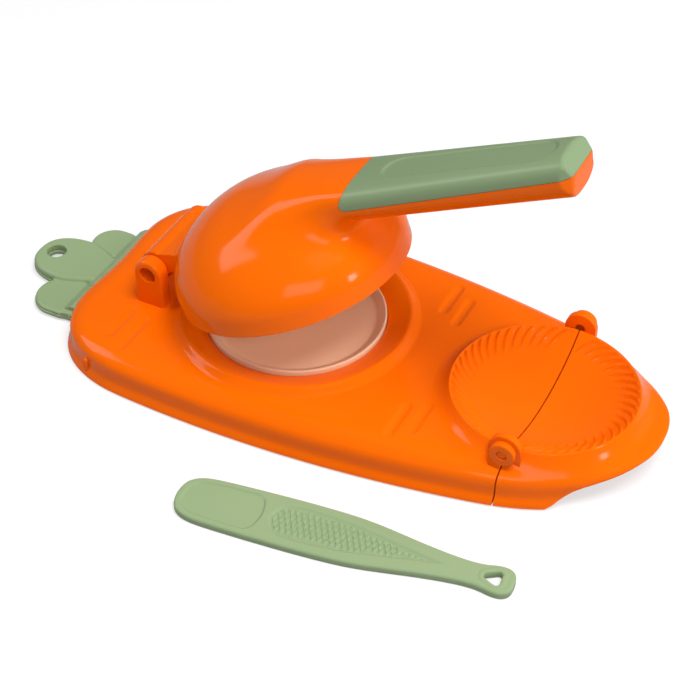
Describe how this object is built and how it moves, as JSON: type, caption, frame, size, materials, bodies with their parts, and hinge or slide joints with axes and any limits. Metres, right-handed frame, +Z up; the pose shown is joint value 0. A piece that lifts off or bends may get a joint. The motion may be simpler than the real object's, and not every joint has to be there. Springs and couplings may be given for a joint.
{
  "type": "empanada press",
  "caption": "Carrot-shaped dough press with a hinged dome lid, a folding mould tip and a loose spatula.",
  "frame": {"origin": "on the table under the centre of the lower press plate", "axes": "+X along the board from the leaf to the mould tip, +Z up"},
  "size_m": [0.353, 0.2107, 0.1629],
  "materials": {
    "orange_plastic": "glossy orange ABS",
    "sage_plastic": "satin sage green ABS",
    "cream_plastic": "satin cream PP",
    "steel_screws": "zinc plated",
    "rubber_feet": "matt rubber"
  },
  "bodies": {
    "base": {"base_board": "orange_plastic", "lower_press_plate": "cream_plastic", "press_plate_screws": "steel_screws", "leaf_top": "sage_plastic", "leaf_bottom": "sage_plastic", "leaf_layer_screws": "steel_screws", "leaf_tongue_screws": "steel_screws", "centre_foot": "rubber_feet", "tail_foot_near": "rubber_feet", "tail_foot_far": "rubber_feet", "mould_foot_near": "rubber_feet", "mould_foot_far": "rubber_feet"},
    "lid": {"lid_shell": "orange_plastic", "handle_cap": "sage_plastic", "handle_cap_screws": "steel_screws", "upper_press_plate": "cream_plastic", "lid_pin_near": "orange_plastic", "lid_pin_far": "orange_plastic"},
    "tip": {"mould_tip": "orange_plastic", "mould_pin_near": "orange_plastic", "mould_pin_far": "orange_plastic"},
    "spatula": {"spatula": "sage_plastic"}
  },
  "joints": [
    {"name": "lid_hinge", "type": "hinge", "parent": "base", "child": "lid", "pos_m": [-0.0702, 0, 0.0383], "axis": [0, -1, 0], "range_deg": [-19.2, 75]},
    {"name": "mould_hinge", "type": "hinge", "parent": "base", "child": "tip", "pos_m": [0.1342, 0, 0.0267], "axis": [0, -1, 0], "range_deg": [0, 180]},
    {"name": "spatula_lift", "type": "slide", "parent": "base", "child": "spatula", "axis": [0, 0, 1], "range_m": [0, 0.1]}
  ]
}
